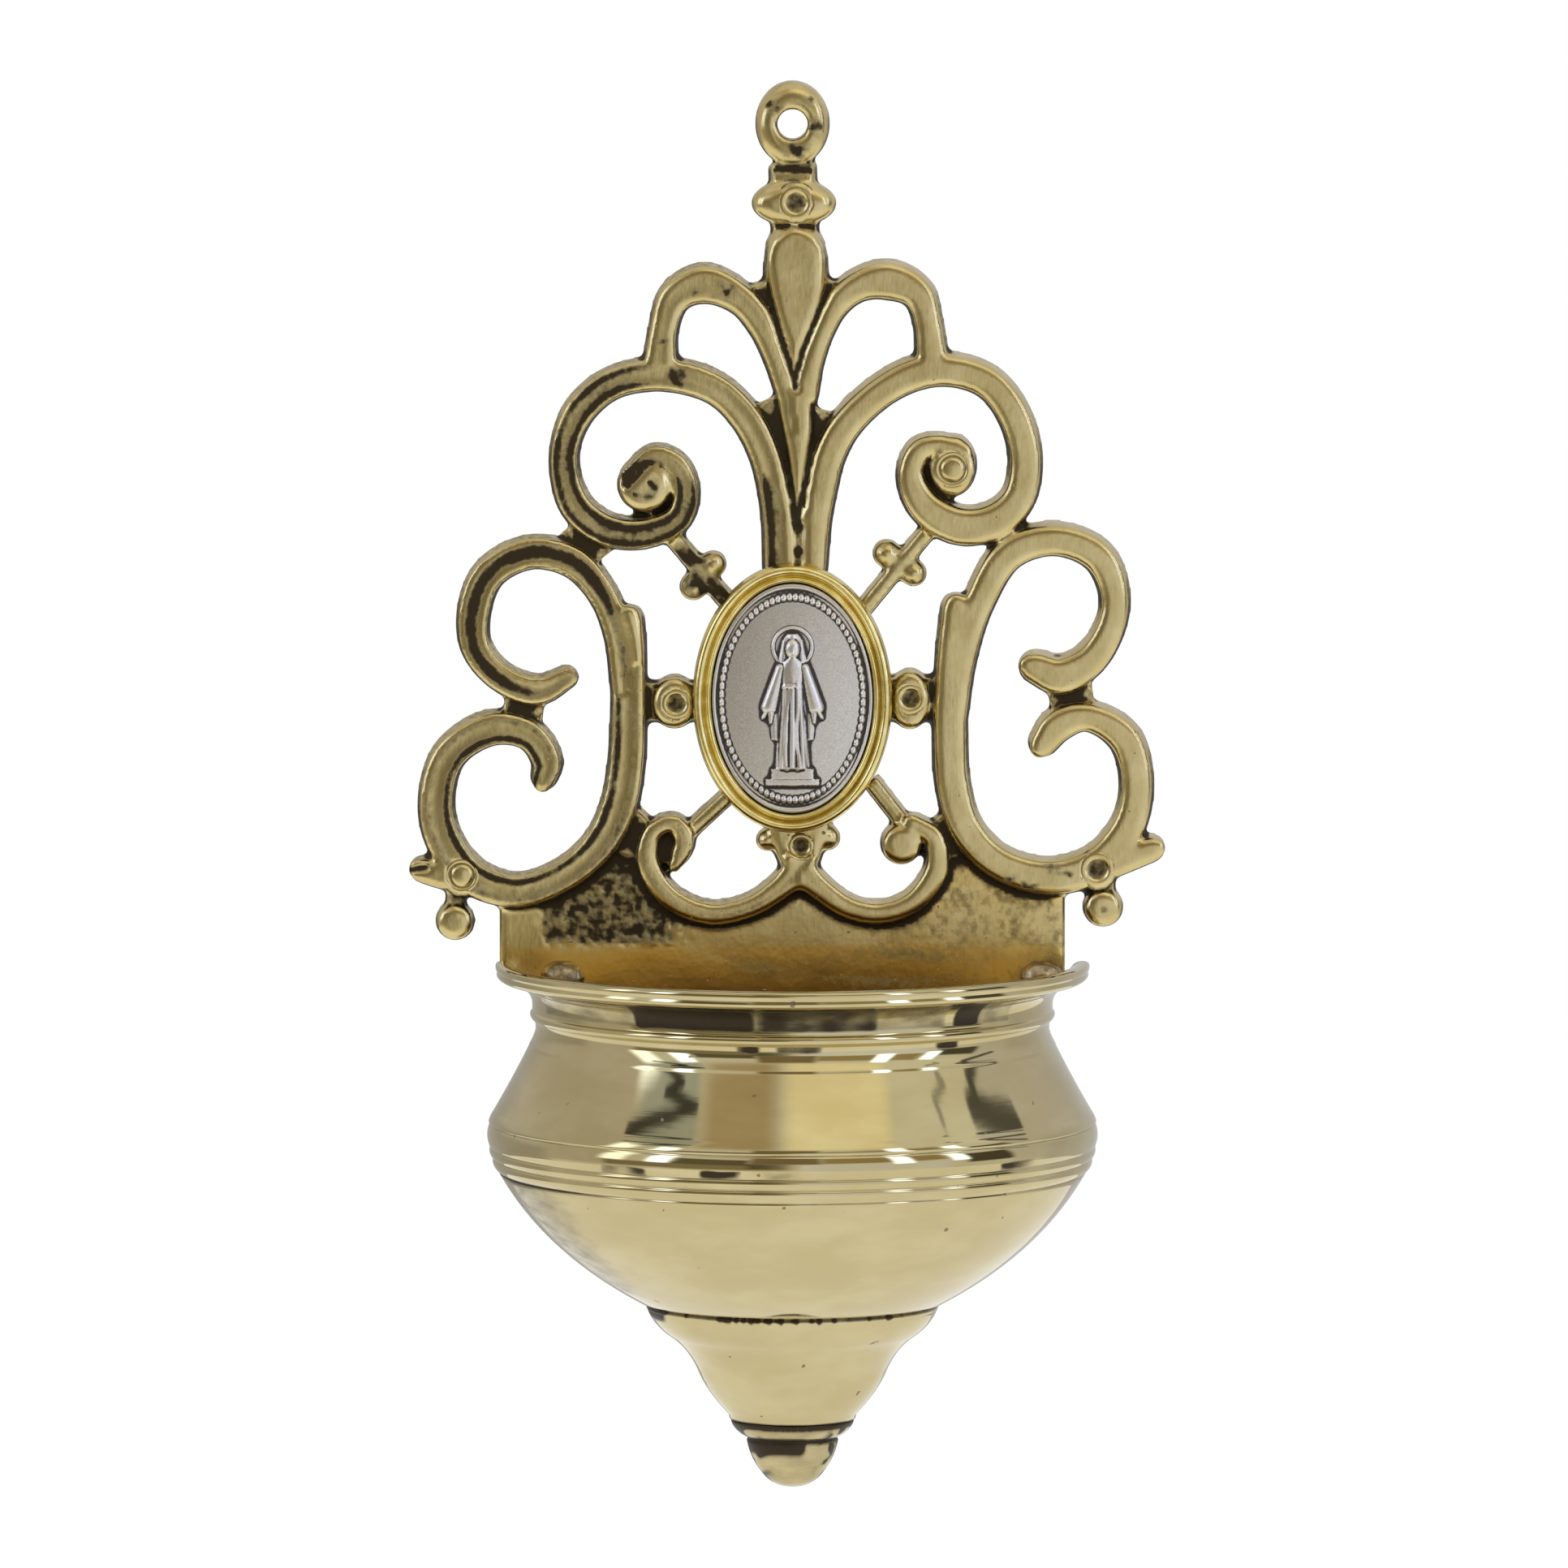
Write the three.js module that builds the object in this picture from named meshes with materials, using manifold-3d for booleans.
// A holy water stoup that hangs on a wall: a pierced scroll back, a half-round bowl with a stepped
// tail and finial, and an oval medal in a gilt frame.
// Millimetres, +Z up, the front faces -Y and the wall is the plane y = 0.
// The origin is the centre of the hanging hole, on the wall. While the pieces are drawn, z is
// counted from the centre of the medal, and everything moves down by MEDAL_DROP at the end.

import * as THREE from "three";
import { mergeVertices } from "three/addons/utils/BufferGeometryUtils.js";
import Module from "manifold-3d";

const wasm = await Module();
wasm.setup();

// Heights of the casting above the wall
const PLATE_THICKNESS = 2.4;
const WEB_RISE = 0.6;
const SPOKE_RISE = 1.2;
const BOSS_RISE = 1.7;
const SCROLL_RISE = 2.2;
const WEB_THICKNESS = PLATE_THICKNESS + WEB_RISE;
const SPOKE_THICKNESS = PLATE_THICKNESS + SPOKE_RISE;
const BOSS_THICKNESS = PLATE_THICKNESS + BOSS_RISE;
const SCROLL_THICKNESS = PLATE_THICKNESS + SCROLL_RISE;
const EDGE_BEVEL = 0.9;
const SIDE_SETBACK = 0.35;

// Hanging eye and the drop from its hole to the medal
const MEDAL_DROP = 81.5;
const EYE_WIDTH = 10.6;
const EYE_HEIGHT = 12.2;
const HANGING_HOLE = 4.3;
const NECK_WIDTH = 7.2;
const DIMPLE_RADIUS = 1.9;

// Medal, its frame and the fixing behind them
const MEDAL_WIDTH = 23;
const MEDAL_HEIGHT = 32.9;
const MEDAL_RIM = 1.1;
const MEDAL_DOME = 0.6;
const FRAME_BAND = 2.6;
const FRAME_FLOOR = 0.9;
const FRAME_DEPTH = 3.2;
const STUD_DIAMETER = 3;
const NUT_ACROSS_FLATS = 5.5;
const NUT_THICKNESS = 2.2;
const CLEARANCE = 0.3;

// Apron of the plate, from the middle to each edge
const APRON_LEFT = 41.5;
const APRON_RIGHT = 38.6;
const PANEL_INSET = 0.5;

// Bowl: radii, and drops below the top of the rim
const RIM_BELOW_MEDAL = 37.7;
const RIM_RADIUS = 42.2;
const LIP_HEIGHT = 2.9;
const NECK_RADIUS = 36.7;
const NECK_DROP = 9.6;
const BELT_RADIUS = 43.5;
const BELT_DROP = 22.7;
const BELT_HEIGHT = 5;
const BOWL_HEIGHT = 48.6;
const BOWL_FOOT_RADIUS = 21.4;
const BOWL_WALL = 1.8;

// Tail and finial
const TAIL_RADIUS = 21.2;
const TAIL_COLLAR = 1.6;
const TAIL_HEIGHT = 16.6;
const TAIL_FOOT_RADIUS = 9.2;
const FINIAL_RADIUS = 9;
const FINIAL_COLLAR = 3.6;
const FINIAL_HEIGHT = 9.9;

// Solder lumps in the rim corners
const SOLDER_LENGTH = 6.4;
const SOLDER_REACH = 2.6;
const SOLDER_DROP = 2.4;
const SOLDER_IN_LEFT = 9.6;
const SOLDER_IN_RIGHT = 6.8;

const ROUND_STEPS = 48;
const OVAL_STEPS = 36;
const MAX_TURN = THREE.MathUtils.degToRad(20.5);

const brass = new THREE.MeshStandardMaterial({ color: 0xbfa868, metalness: 1, roughness: 0.35 });
const bowlBrass = new THREE.MeshStandardMaterial({ color: 0xcdbb84, metalness: 1, roughness: 0.22 });
const gilt = new THREE.MeshStandardMaterial({ color: 0xd0a94e, metalness: 1, roughness: 0.25 });
const silver = new THREE.MeshStandardMaterial({ color: 0xa9a59a, metalness: 1, roughness: 0.4 });
const solder = new THREE.MeshStandardMaterial({ color: 0xb4ada0, metalness: 1, roughness: 0.5 });

// Scroll lines as [x, z, width]. The casting is a little lopsided, so each side has its own lines.
const LEFT = {
  crest: [[-32.1, 2.5, 3.8], [-35.8, 0.8, 4.8], [-40.9, 2.4, 4.8], [-44.7, 6.8, 4.9], [-45, 12.2, 5.2],
    [-42.8, 17.4, 5.2], [-37, 20.3, 5.3], [-31, 19, 5.3], [-26.9, 14.5, 4.8], [-24.7, 8.8, 4.6],
    [-23.4, 0.7, 5.1]],
  stem: [[-23.1, 12, 4.8], [-23.1, 6.5, 5.3], [-23.2, -2.8, 5.6]],
  foot: [[-23.2, 3, 5.5], [-23.2, -2.8, 5.6], [-23.5, -9.7, 5.8], [-24.7, -16, 5.8], [-27.4, -21.2, 5.5],
    [-32.4, -25.5, 5.3], [-39, -27.7, 5.4], [-45.4, -25.7, 5.8], [-49.5, -20.2, 5.8],
    [-50.4, -14.5, 5.6], [-48.4, -8.2, 5.4], [-42.4, -4.6, 5.5], [-37, -5.7, 5.1],
    [-34.7, -9.5, 4.9], [-35.1, -11.4, 4.4]],
  wing: [[-46.2, -25.8, 5.1], [-49.6, -25.6, 4.1], [-52.5, -24.9, 3.6]],
  upper: [[-1.8, 18, 5.3], [-2.1, 24.9, 5.1], [-2.7, 29.5, 5.1], [-3.9, 34.2, 5.1], [-6.4, 39.2, 5.2],
    [-10.3, 43.2, 5.2], [-15, 45.1, 5.4], [-20.3, 45.5, 5.3], [-25.8, 44.1, 5.1], [-30, 40.5, 5.1],
    [-32, 35.9, 4.7], [-32.1, 31.3, 4.8], [-30.4, 26.7, 5.3], [-26.5, 23.7, 5.3], [-21.4, 23, 5.1],
    [-16.2, 25.2, 4.6], [-15, 29.3, 4.3], [-16.5, 33, 3.9], [-19.6, 34.2, 3.5], [-22.7, 31.5, 3.5]],
  loop: [[0.9, 24.9, 0.5], [0.5, 29.5, 0.9], [-0.3, 37.6, 2.1], [-1.4, 43.2, 3.2], [-2.7, 48, 3.6],
    [-4.7, 52.4, 3.9], [-7.6, 56.4, 4.8], [-12.5, 58.4, 6.2], [-16.6, 56.5, 5.3], [-18.2, 52, 4.7],
    [-18.6, 48.2, 5.3]],
  anchor: [[1, -24.5, 5.3], [-1.6, -27, 4.4], [-5.9, -29.8, 3.9], [-11.7, -30.9, 3.9],
    [-17.4, -28.5, 4], [-20.5, -23.5, 3.8], [-19.7, -19.2, 3.2], [-16.8, -18, 3], [-14.8, -20.3, 3.1],
    [-15.6, -23.1, 2.3], [-16.4, -24.7, 1.2]],
  apronTop: [[-APRON_LEFT, -28], [-33, -26], [-25.5, -21.8]],
  spokes: [[[-17.8, 23.5, 2.5], [-8.8, 12.8, 2.5]], [[-8.2, -13.4, 2.3], [-15.1, -19.8, 2.5]]],
  beadNeck: [[-47.7, -27.6, 3.2], [-47.8, -31.6, 3.2]],
  webs: [[[-8.2, 56.4, 3], [-2.5, 57.8, 3]], [[-4.2, 43.6, 2.6], [-1.9, 38, 3.4], [-0.8, 30, 3]],
    [[-30.9, 24.3, 4.6], [-27.4, 19.2, 5]], [[-40.8, -1.2, 3.9], [-35.2, -1.8, 3.9]],
    [[-22.6, -0.9, 6.4], [-13, -0.9, 6.4]], [[-23.2, -18, 5.8], [-19.6, -21.8, 5.8]]],
};
const RIGHT = {
  crest: [[34.2, 4.2, 4.4], [37.8, 2.9, 6.1], [42.7, 5.8, 5.3], [45.6, 12.9, 4.8], [43.4, 19.6, 5.3],
    [37.2, 22.2, 5.3], [30.6, 20.2, 5.4], [26.3, 13.2, 5.1], [23.7, 5.3, 5.3], [22.4, -2.8, 5.4]],
  stem: [[23.1, 12.3, 4.8], [22.7, 6.5, 5.3], [22.3, -2.8, 5.5]],
  foot: [[22.3, -0.5, 5.5], [22.3, -5.1, 5.5], [22.7, -12.6, 5.5], [24.6, -18.9, 5.5], [28.9, -23.5, 5.5],
    [36.1, -25.7, 5.8], [43, -23.9, 6], [47.6, -18.3, 5.5], [48.7, -12, 5.3], [46.9, -5.9, 5.4],
    [41.6, -2.9, 4.9], [37.5, -4.2, 5.5], [35.6, -6.5, 4.8]],
  wing: [[44.1, -24, 5.5], [48.1, -22.8, 4.6], [50.7, -22.3, 3.5]],
  upper: [[3, 18, 4.4], [3.4, 24.9, 4.8], [4.1, 29.5, 5.1], [5.1, 33.9, 5.3], [7.4, 38.3, 5.3],
    [12.5, 43.2, 5.3], [17.7, 45.8, 5.5], [22.5, 46.2, 5.4], [27.7, 44.4, 5.3], [31.3, 39.8, 5.3],
    [32.9, 33.6, 5.3], [31.8, 27.9, 5.5], [28.1, 24.7, 6], [23.4, 24.2, 6.2], [18.6, 27, 5.5],
    [16.7, 31.6, 4.6], [18, 35, 4.1], [21.1, 35.8, 3.4], [23.8, 35, 3.2]],
  loop: [[1, 24.9, 0.5], [1.2, 29.5, 0.9], [1.8, 37.6, 2.1], [2.4, 42.8, 2.9], [2.9, 46.9, 3],
    [4.3, 51.5, 3.5], [6.4, 55.7, 4.3], [9.4, 58.2, 5.3], [13.7, 58.9, 6.2], [17.7, 57, 5.3],
    [19.1, 53, 4.7], [19.6, 48.9, 5.1]],
  anchor: [[1, -24.5, 5.3], [3.6, -27, 4.4], [7.9, -30, 3.9], [12.5, -30.8, 3.8], [17.1, -29.1, 3.9],
    [20.4, -24.5, 4.1], [20, -20.1, 3.7], [17.2, -18, 3]],
  apronTop: [[25.7, -21.6], [28.6, -23.6], [36, -26], [APRON_RIGHT, -26.4]],
  spokes: [[[19, 23.2, 2.3], [9.8, 12, 2.3]], [[11, -12, 2.5], [15.8, -18.2, 2.5]]],
  beadNeck: [[44.2, -26.4, 3.5], [44.1, -30.1, 3.5]],
  webs: [[[3.6, 58.2, 3], [8.6, 56.8, 3]], [[4.2, 42, 3], [3.2, 37, 3.4], [2.4, 30, 3]],
    [[29.2, 24.3, 4.6], [32.4, 21.7, 4.6]], [[36.3, -0.2, 2.8], [42.5, 0.5, 2.8]],
    [[13, -0.5, 7.1], [22, -0.5, 7.1]], [[23.6, -17.5, 5.8], [20, -21.8, 5.8]]],
};
const LEAF = [[0.4, 66.2, 8.5], [0.5, 60.7, 8.7], [0.7, 54.9, 6.7], [0.9, 49.2, 3.1], [0.9, 44, 0.6]];
const LEAF_BACK = [[0.5, 61, 9], [0.6, 54, 9.4], [0.7, 47, 6], [0.8, 40, 4], [0.9, 30, 3]];
const KNOP = [[-3.5, 69.7, 4.7], [0.1, 69.8, 6.2], [3.9, 69.9, 4.8]];
const ANCHOR_BOSS = [[0.9, -18, 9.9], [0.9, -21.5, 8.1], [1, -24.9, 5.5]];

// Round lumps of the casting as [x, z, half width, half height]
const SCROLL_EYES = [[-20.9, 29.9, 4, 4], [22.7, 32.7, 3.5, 4.6], [15.4, -21, 3.1, 3.2]];
const FOOT_BEADS = [[-47.8, -32.1, 2.9, 2.9], [44, -30.1, 3, 3]];
const SIDE_BOSSES = [[-16.8, -0.9, 3.1, 3.6], [16.6, -0.5, 2.8, 3.9]];
const SPOKE_BEADS = [[-11.2, 18.7, 1.6, 1.6], [-14, 15.5, 1.7, 1.7], [13.3, 20.2, 1.7, 1.7],
  [17.1, 17.4, 1.7, 1.7], [-3.6, -20.5, 1.5, 1.5], [5, -20.2, 1.7, 1.7]];
// Small drilled dimples and turned ring grooves as [x, z, radius]
const DIMPLES = [[0.5, 70.3, DIMPLE_RADIUS], [1.3, -21.3, 1.6], [-16.4, -1, 1.6], [16.7, -0.3, 1.6]];
const RING_GROOVES = [[22.6, 32.2, 1.9], [-46.8, -25.5, 1.9], [43.1, -24.6, 1.9]];

// Shape helpers
function solid(geometry) {
  const bare = new THREE.BufferGeometry();
  bare.setAttribute("position", geometry.getAttribute("position"));
  bare.setIndex(geometry.getIndex());
  const merged = mergeVertices(bare, 1e-4);
  const points = merged.getAttribute("position");
  const corners = merged.getIndex().array;
  const faces = [];
  const a = new THREE.Vector3();
  const b = new THREE.Vector3();
  const c = new THREE.Vector3();
  let volume = 0;
  for (let i = 0; i < corners.length; i += 3) {
    const [p, q, r] = [corners[i], corners[i + 1], corners[i + 2]];
    if (p === q || q === r || r === p) continue;
    faces.push([p, q, r]);
    a.fromBufferAttribute(points, p);
    b.fromBufferAttribute(points, q);
    c.fromBufferAttribute(points, r);
    volume += a.dot(b.cross(c));
  }
  const outward = volume > 0 ? faces : faces.map(([p, q, r]) => [p, r, q]);
  return new wasm.Manifold(new wasm.Mesh({
    numProp: 3,
    vertProperties: Float32Array.from(points.array),
    triVerts: Uint32Array.from(outward.flat()),
  }));
}

function join(geometries) {
  return geometries.map(solid).reduce((whole, piece) => whole.add(piece));
}

function meshOf(name, body, material) {
  const { vertProperties, triVerts, numProp } = body.getMesh();
  const points = [];
  for (let i = 0; i < vertProperties.length; i += numProp) {
    points.push(vertProperties[i], vertProperties[i + 1], vertProperties[i + 2] - MEDAL_DROP);
  }
  const geometry = new THREE.BufferGeometry();
  geometry.setAttribute("position", new THREE.Float32BufferAttribute(points, 3));
  geometry.setIndex(Array.from(triVerts));
  geometry.computeVertexNormals();
  const mesh = new THREE.Mesh(geometry, material);
  mesh.name = name;
  return mesh;
}

// Skins a row of equal closed sections; with closeRing the last section joins the first
function loft(sections, closeRing = false) {
  const count = sections[0].length;
  const points = sections.flat(2);
  const faces = [];
  const links = closeRing ? sections.length : sections.length - 1;
  for (let i = 0; i < links; i++) {
    const here = i * count;
    const next = ((i + 1) % sections.length) * count;
    for (let k = 0; k < count; k++) {
      const turn = (k + 1) % count;
      faces.push(here + k, next + turn, here + turn, here + k, next + k, next + turn);
    }
  }
  if (!closeRing) {
    const last = (sections.length - 1) * count;
    for (let k = 1; k < count - 1; k++) {
      faces.push(0, k, k + 1, last, last + k + 1, last + k);
    }
  }
  const geometry = new THREE.BufferGeometry();
  geometry.setAttribute("position", new THREE.Float32BufferAttribute(points, 3));
  geometry.setIndex(faces);
  return geometry;
}

// One bevelled bar of the casting along a smooth line of [x, z, width] stations
function bar(stations, thickness, { roundStart = true, roundEnd = true } = {}) {
  const line = new THREE.CatmullRomCurve3(stations.map((station) => new THREE.Vector3(...station)));
  const sections = [];
  const addSection = (x, z, along, half) => {
    const setback = Math.min(SIDE_SETBACK, 0.2 * half);
    const bevel = Math.min(EDGE_BEVEL, 0.45 * half);
    const shoulder = half - setback;
    const flat = shoulder - bevel;
    const across = [[-half, 0], [-shoulder, thickness - bevel], [-flat, thickness],
      [flat, thickness], [shoulder, thickness - bevel], [half, 0]];
    sections.push(across.map(([side, height]) => [x - along.y * side, -height, z + along.x * side]));
  };
  const addRoundEnd = (spot, along, direction, angles) => {
    for (const angle of angles) {
      const reach = direction * (spot.z / 2) * Math.sin(THREE.MathUtils.degToRad(angle));
      const half = (spot.z / 2) * Math.cos(THREE.MathUtils.degToRad(angle));
      addSection(spot.x + along.x * reach, spot.y + along.y * reach, along, half);
    }
  };
  const direction = (at) => {
    const tangent = line.getTangentAt(at);
    return new THREE.Vector2(tangent.x, tangent.y).normalize();
  };
  const steps = Math.ceil(line.getLength() / 0.4);
  let lastKept = null;
  if (roundStart) addRoundEnd(line.getPointAt(0), direction(0), -1, [75, 40]);
  for (let i = 0; i <= steps; i++) {
    const spot = line.getPointAt(i / steps);
    const along = direction(i / steps);
    const turned = lastKept ? Math.abs(lastKept.along.angleTo(along)) : Infinity;
    const moved = lastKept ? lastKept.spot.distanceTo(spot) : Infinity;
    if (i === steps || turned > MAX_TURN || moved > 6) {
      addSection(spot.x, spot.y, along, spot.z / 2);
      lastKept = { spot, along };
    }
  }
  if (roundEnd) addRoundEnd(line.getPointAt(1), direction(1), 1, [40, 75]);
  return loft(sections);
}

// A lathe turned about the front-to-back axis, squeezed to an oval
function lump([x, z, halfWidth, halfHeight], heights, steps = 16) {
  const turned = new THREE.LatheGeometry(heights.map(([r, h]) => new THREE.Vector2(r, -h)), steps);
  turned.scale(halfWidth, 1, halfHeight);
  turned.translate(x, 0, z);
  return turned;
}

function disc(place, thickness) {
  const shoulder = 1 - SIDE_SETBACK / place[2];
  const flat = shoulder - Math.min(EDGE_BEVEL / place[2], 0.4);
  return lump(place, [[0, 0], [1, 0], [shoulder, thickness - EDGE_BEVEL], [flat, thickness], [0, thickness]]);
}

function bead(place, thickness) {
  return lump(place, [[0, 0], [1, 0], [0.95, 0.72 * thickness], [0.7, 0.93 * thickness], [0, thickness]], 12);
}

// A lathe turned about the upright axis of the bowl, kept in front of the plate
function halfTurned(profile) {
  const turned = new THREE.LatheGeometry(profile, ROUND_STEPS);
  turned.rotateX(Math.PI / 2);
  turned.translate(0, -PLATE_THICKNESS, -RIM_BELOW_MEDAL);
  const drop = BOWL_HEIGHT + TAIL_HEIGHT + FINIAL_HEIGHT;
  const behind = new THREE.BoxGeometry(3 * BELT_RADIUS, 2 * BELT_RADIUS, 3 * drop);
  behind.translate(0, BELT_RADIUS - PLATE_THICKNESS, -RIM_BELOW_MEDAL);
  return solid(turned).subtract(solid(behind));
}

function post(x, z, radius, from, to, sides = 20) {
  const round = new THREE.CylinderGeometry(radius, radius, to - from, sides);
  round.translate(x, -(from + to) / 2, z);
  return round;
}

// A ring of one section around an oval; the section is [outward, height] from the oval's edge
function ovalRing(halfWidth, halfHeight, section) {
  const sections = [];
  for (let i = 0; i < OVAL_STEPS; i++) {
    const angle = (2 * Math.PI * i) / OVAL_STEPS;
    const edge = new THREE.Vector2(halfWidth * Math.cos(angle), halfHeight * Math.sin(angle));
    const out = new THREE.Vector2(halfHeight * Math.cos(angle), halfWidth * Math.sin(angle)).normalize();
    sections.push(section.map(([side, height]) => [edge.x + out.x * side, -height, edge.y + out.y * side]));
  }
  return loft(sections, true);
}

function ovalPlate(halfWidth, halfHeight, from, to) {
  const outline = new THREE.Shape().absellipse(0, 0, halfWidth, halfHeight, 0, 2 * Math.PI);
  const plate = new THREE.ExtrudeGeometry(outline, {
    depth: to - from, bevelEnabled: false, curveSegments: OVAL_STEPS,
  });
  plate.rotateX(Math.PI / 2);
  plate.translate(0, -from, 0);
  return plate;
}

// Profiles of bowl, tail and finial as [radius, drop below the rim]
function bowlOutside() {
  const beltBottom = BELT_DROP + BELT_HEIGHT;
  const path = new THREE.Path();
  path.moveTo(BOWL_FOOT_RADIUS, -BOWL_HEIGHT);
  path.quadraticCurveTo(0.81 * BELT_RADIUS, -BOWL_HEIGHT + 7.3, BELT_RADIUS - 1.7, -beltBottom - 0.6);
  path.lineTo(BELT_RADIUS - 1, -beltBottom);
  path.quadraticCurveTo(BELT_RADIUS + 0.8, -BELT_DROP - 0.54 * BELT_HEIGHT,
    BELT_RADIUS - 0.4, -BELT_DROP - 0.5);
  path.lineTo(BELT_RADIUS - 0.7, -BELT_DROP - 0.2);
  path.lineTo(BELT_RADIUS - 0.3, -BELT_DROP);
  path.quadraticCurveTo(BELT_RADIUS - 1, -BELT_DROP + 3.2, NECK_RADIUS + 0.2, -NECK_DROP - 0.8);
  path.lineTo(NECK_RADIUS, -NECK_DROP);
  path.quadraticCurveTo(NECK_RADIUS - 0.4, -NECK_DROP + 2.6, RIM_RADIUS - 0.7, -LIP_HEIGHT);
  path.quadraticCurveTo(RIM_RADIUS + 0.1, -0.75 * LIP_HEIGHT, RIM_RADIUS, -0.5 * LIP_HEIGHT);
  path.quadraticCurveTo(RIM_RADIUS, 0, RIM_RADIUS - 1.2, 0);
  return path;
}

function bowlInside(gap) {
  const wall = BOWL_WALL + gap;
  const path = new THREE.Path();
  path.moveTo(RIM_RADIUS - 1.2 - gap, 0);
  path.quadraticCurveTo(RIM_RADIUS - 2.2 - gap, 0, RIM_RADIUS - 2.6 - gap, -1.2);
  path.quadraticCurveTo(NECK_RADIUS - wall, -NECK_DROP + 3.4, NECK_RADIUS - wall, -NECK_DROP);
  path.quadraticCurveTo(BELT_RADIUS - wall, -BELT_DROP + 3.2, BELT_RADIUS - wall, -BELT_DROP - 1);
  path.quadraticCurveTo(BELT_RADIUS - wall, -BOWL_HEIGHT + wall, 0, -BOWL_HEIGHT + wall + 1);
  return path;
}

function tailOutside() {
  const path = new THREE.Path();
  const waist = 0.71 * TAIL_RADIUS;
  path.moveTo(TAIL_FOOT_RADIUS - 0.2, -TAIL_HEIGHT);
  path.bezierCurveTo(TAIL_FOOT_RADIUS + 3, -TAIL_HEIGHT + 2, waist - 1.9, -0.62 * TAIL_HEIGHT,
    waist, -0.46 * TAIL_HEIGHT);
  path.bezierCurveTo(waist + 1.3, -0.35 * TAIL_HEIGHT, TAIL_RADIUS - 0.9, -2 * TAIL_COLLAR,
    TAIL_RADIUS - 0.4, -TAIL_COLLAR);
  path.lineTo(TAIL_RADIUS, 0);
  return path;
}

function finialOutside() {
  const path = new THREE.Path();
  path.moveTo(0, -FINIAL_HEIGHT);
  path.bezierCurveTo(0.49 * FINIAL_RADIUS, -FINIAL_HEIGHT, 0.71 * FINIAL_RADIUS, -0.69 * FINIAL_HEIGHT,
    0.74 * FINIAL_RADIUS, -FINIAL_COLLAR - 0.2);
  path.lineTo(0.77 * FINIAL_RADIUS, -FINIAL_COLLAR);
  path.quadraticCurveTo(0.95 * FINIAL_RADIUS, -0.6 * FINIAL_COLLAR, FINIAL_RADIUS, 0);
  return path;
}

const bowlLine = bowlOutside().getPoints(6);
const tailLine = tailOutside().getPoints(5).map((p) => new THREE.Vector2(p.x, p.y - BOWL_HEIGHT));
const finialLine = finialOutside().getPoints(5)
  .map((p) => new THREE.Vector2(p.x, p.y - BOWL_HEIGHT - TAIL_HEIGHT));

// The plain panel: apron above, flat back of bowl, tail and finial below
function panel() {
  const silhouette = [...finialLine, ...tailLine, ...bowlLine]
    .filter((p) => p.x > PANEL_INSET && p.y < -LIP_HEIGHT - 0.1)
    .map((p) => new THREE.Vector2(p.x - PANEL_INSET, p.y - RIM_BELOW_MEDAL));
  const rim = -RIM_BELOW_MEDAL - LIP_HEIGHT;
  const underLeft = LEFT.anchor.slice(0, 6).reverse();
  const underRight = RIGHT.anchor.slice(1, 6);
  const topEdge = [[-APRON_LEFT, rim], ...LEFT.apronTop, ...underLeft,
    ...underRight, ...RIGHT.apronTop, [APRON_RIGHT, rim]];
  const outline = new THREE.Shape();
  outline.setFromPoints([
    ...topEdge.map(([x, z]) => new THREE.Vector2(x, z)),
    ...silhouette.toReversed(),
    ...silhouette.map((p) => new THREE.Vector2(-p.x, p.y)),
  ]);
  const sheet = new THREE.ExtrudeGeometry(outline, { depth: PLATE_THICKNESS, bevelEnabled: false });
  sheet.rotateX(Math.PI / 2);
  return sheet;
}

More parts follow.
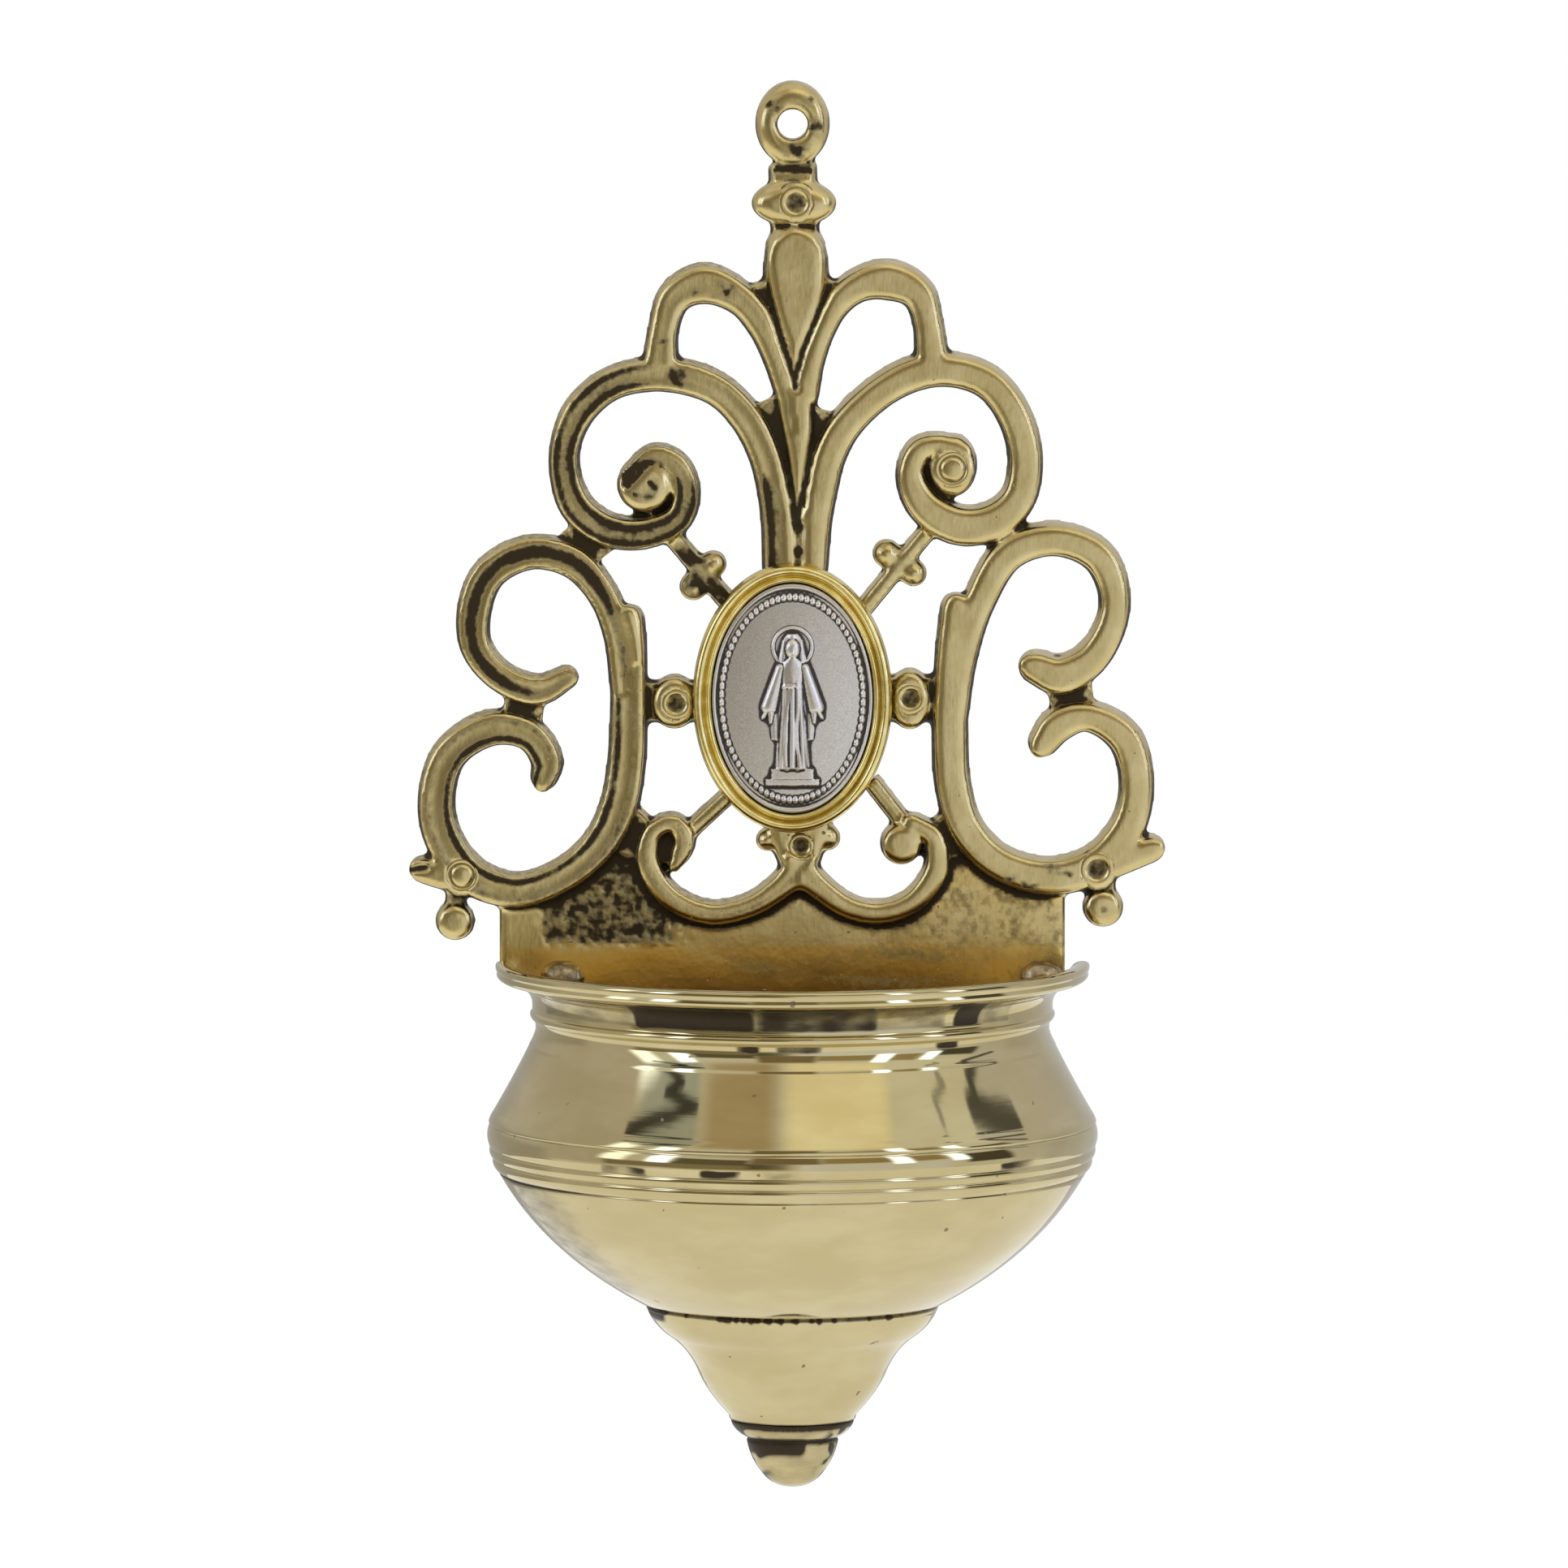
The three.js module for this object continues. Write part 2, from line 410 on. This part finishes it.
function backPlate() {
  const eye = [0, MEDAL_DROP - 0.5, EYE_WIDTH / 2, EYE_HEIGHT / 2];
  const neck = [[0, MEDAL_DROP - 5, NECK_WIDTH], [0.4, 64, NECK_WIDTH]];
  const pad = [0, 0, MEDAL_WIDTH / 2 + FRAME_BAND - 1, MEDAL_HEIGHT / 2 + FRAME_BAND - 1];
  const buried = { roundStart: false, roundEnd: false };
  const bars = [LEFT, RIGHT].flatMap((side) => [
    bar(side.crest, SCROLL_THICKNESS, { roundEnd: false }),
    bar(side.stem, SCROLL_THICKNESS, buried),
    bar(side.foot, SCROLL_THICKNESS, { roundStart: false }),
    bar(side.wing, SCROLL_THICKNESS, { roundStart: false }),
    bar(side.upper, SCROLL_THICKNESS, buried),
    bar(side.loop, SCROLL_THICKNESS, buried),
    bar(side.anchor, SCROLL_THICKNESS, { roundStart: false }),
    bar(side.beadNeck, WEB_THICKNESS, buried),
    ...side.spokes.map((spoke) => bar(spoke, SPOKE_THICKNESS, buried)),
    ...side.webs.map((web) => bar(web, WEB_THICKNESS, buried)),
  ]);
  const lumps = [
    disc(eye, SCROLL_THICKNESS),
    bar(neck, BOSS_THICKNESS, buried),
    bar(KNOP, SCROLL_THICKNESS),
    bar(LEAF, SCROLL_THICKNESS, { roundStart: false }),
    bar(LEAF_BACK, WEB_THICKNESS, buried),
    bar(ANCHOR_BOSS, BOSS_THICKNESS),
    lump(pad, [[0, 0], [1, 0], [1, SCROLL_THICKNESS], [0, SCROLL_THICKNESS]], OVAL_STEPS),
    ...SCROLL_EYES.map((place) => disc(place, SCROLL_THICKNESS)),
    ...FOOT_BEADS.map((place) => bead(place, BOSS_THICKNESS)),
    ...SIDE_BOSSES.map((place) => disc(place, BOSS_THICKNESS)),
    ...SPOKE_BEADS.map((place) => bead(place, SPOKE_THICKNESS)),
  ];
  const cuts = [
    post(0, MEDAL_DROP, HANGING_HOLE / 2, -1, SCROLL_THICKNESS + 1),
    post(0, 0, STUD_DIAMETER / 2 + CLEARANCE, -1, SCROLL_THICKNESS + 1),
    post(0, 0, nutCorner() + CLEARANCE, -1, NUT_THICKNESS + CLEARANCE),
    ...DIMPLES.map(([x, z, radius]) => {
      const ball = new THREE.SphereGeometry(radius, 12, 8);
      ball.translate(x, -SCROLL_THICKNESS - 0.35 * radius, z);
      return ball;
    }),
    ...RING_GROOVES.map(([x, z, radius]) => {
      const ring = new THREE.TorusGeometry(radius, 0.45, 5, 14);
      ring.rotateX(Math.PI / 2);
      ring.translate(x, -SCROLL_THICKNESS, z);
      return ring;
    }),
  ];
  return join([panel(), ...bars, ...lumps]).subtract(join(cuts));
}

function nutCorner() {
  return NUT_ACROSS_FLATS / Math.sqrt(3);
}

function bowl() {
  const axis = [new THREE.Vector2(0, -BOWL_HEIGHT), ...bowlLine];
  return halfTurned([...axis, ...bowlInside(0).getPoints(3)]);
}

function tail() {
  const top = new THREE.Vector2(0, -BOWL_HEIGHT);
  const bottom = new THREE.Vector2(0, -BOWL_HEIGHT - TAIL_HEIGHT);
  return halfTurned([bottom, ...tailLine, top]);
}

function finial() {
  const top = new THREE.Vector2(0, -BOWL_HEIGHT - TAIL_HEIGHT);
  return halfTurned([...finialLine, top]);
}

function solderLump(side, x) {
  const blob = new THREE.SphereGeometry(1, 16, 10);
  blob.scale(SOLDER_LENGTH / 2, SOLDER_REACH, SOLDER_REACH);
  blob.translate(side * x, -PLATE_THICKNESS, -RIM_BELOW_MEDAL - SOLDER_DROP);
  const hollow = halfTurned([new THREE.Vector2(0, 0), ...bowlInside(CLEARANCE).getPoints(3)]);
  return solid(blob).intersect(hollow);
}

function medalFrame() {
  const back = SCROLL_THICKNESS;
  const front = back + FRAME_DEPTH;
  const seat = back + FRAME_FLOOR;
  const section = [[-0.8, back], [-0.8, seat], [0, seat], [0, front - 1], [0.25, front - 0.65],
    [0.7, front - 0.65], [0.95, front - 1], [1.2, front - 0.35], [1.6, front], [2, front],
    [FRAME_BAND - 0.25, front - 0.5], [FRAME_BAND - 0.2, front - 1.2], [FRAME_BAND, front - 1.4],
    [FRAME_BAND, back]];
  const halfWidth = MEDAL_WIDTH / 2;
  const halfHeight = MEDAL_HEIGHT / 2;
  const tray = ovalPlate(halfWidth - 0.5, halfHeight - 0.5, back, seat);
  return join([ovalRing(halfWidth, halfHeight, section), tray]);
}

// The medal carries a plain robed figure with a halo on a plinth, inside a raised border
function medal() {
  const seat = SCROLL_THICKNESS + FRAME_FLOOR;
  const halfWidth = MEDAL_WIDTH / 2 - CLEARANCE;
  const halfHeight = MEDAL_HEIGHT / 2 - CLEARANCE;
  const rim = seat + MEDAL_RIM;
  const crown = rim + MEDAL_DOME;
  const blank = lump([0, 0, halfWidth, halfHeight], [[0, seat], [1, seat], [1, rim],
    [0.8, rim + 0.45 * MEDAL_DOME], [0.4, rim + 0.85 * MEDAL_DOME], [0, crown]], OVAL_STEPS);
  const border = ovalRing(halfWidth - 0.9, halfHeight - 0.9,
    [[-0.3, rim - 0.4], [-0.2, rim + 0.3], [0.2, rim + 0.3], [0.3, rim - 0.4]]);
  const upright = (profile, depth) => {
    const shape = new THREE.LatheGeometry(profile.map(([r, z]) => new THREE.Vector2(r, z)), 10);
    shape.rotateX(Math.PI / 2);
    shape.scale(1, depth, 1);
    shape.translate(0, -crown + 0.2, 0);
    return shape;
  };
  const robe = upright([[0, -10], [2.6, -10], [2.4, -6], [2, -0.5], [1.8, 1.8], [2.1, 3.8],
    [1.6, 5.2], [0.8, 5.9], [0, 6]], 0.45);
  const veil = upright([[0, -7], [3, -7], [2.9, -2], [2.5, 3], [1.9, 6], [1.5, 8.6], [0, 9.3]], 0.2);
  const head = upright([[0, 5.4], [0.7, 5.7], [1.1, 6.4], [1.25, 7.4], [1, 8.3], [0, 8.8]], 0.75);
  const plinth = upright([[0, -12.4], [3.8, -12.4], [3.8, -11.6], [3.1, -11.2], [3.1, -9.9],
    [0, -9.9]], 0.32);
  const sleeves = [-1, 1].map((side) => {
    const sleeve = new THREE.CylinderGeometry(0.6, 0.95, 7, 10);
    sleeve.rotateX(Math.PI / 2);
    sleeve.rotateY(side * -0.28);
    sleeve.scale(1, 0.7, 1);
    sleeve.translate(side * 2.9, -crown, 0.8);
    return sleeve;
  });
  const halo = new THREE.TorusGeometry(2.6, 0.28, 5, 18);
  halo.rotateX(Math.PI / 2);
  halo.translate(0, -crown + 0.1, 7.4);
  return join([blank, border, veil, robe, plinth, head, halo, ...sleeves]);
}

function medalStud() {
  return solid(post(0, 0, STUD_DIAMETER / 2, 0.3, SCROLL_THICKNESS));
}

function medalNut() {
  const hexagon = new THREE.CylinderGeometry(nutCorner(), nutCorner(), NUT_THICKNESS, 6);
  hexagon.translate(0, -NUT_THICKNESS / 2 - CLEARANCE, 0);
  const hole = post(0, 0, STUD_DIAMETER / 2 + CLEARANCE, -1, NUT_THICKNESS + 1);
  return solid(hexagon).subtract(solid(hole));
}

const stoup = new THREE.Group();
stoup.name = "holy_water_stoup";
stoup.add(
  meshOf("back_plate", backPlate(), brass),
  meshOf("bowl", bowl(), bowlBrass),
  meshOf("bowl_tail", tail(), bowlBrass),
  meshOf("tail_finial", finial(), bowlBrass),
  meshOf("medal_frame", medalFrame(), gilt),
  meshOf("medal", medal(), silver),
  meshOf("medal_stud", medalStud(), brass),
  meshOf("medal_nut", medalNut(), brass),
  meshOf("solder_fillet_left", solderLump(-1, RIM_RADIUS - SOLDER_IN_LEFT), solder),
  meshOf("solder_fillet_right", solderLump(1, RIM_RADIUS - SOLDER_IN_RIGHT), solder),
);

export default stoup;
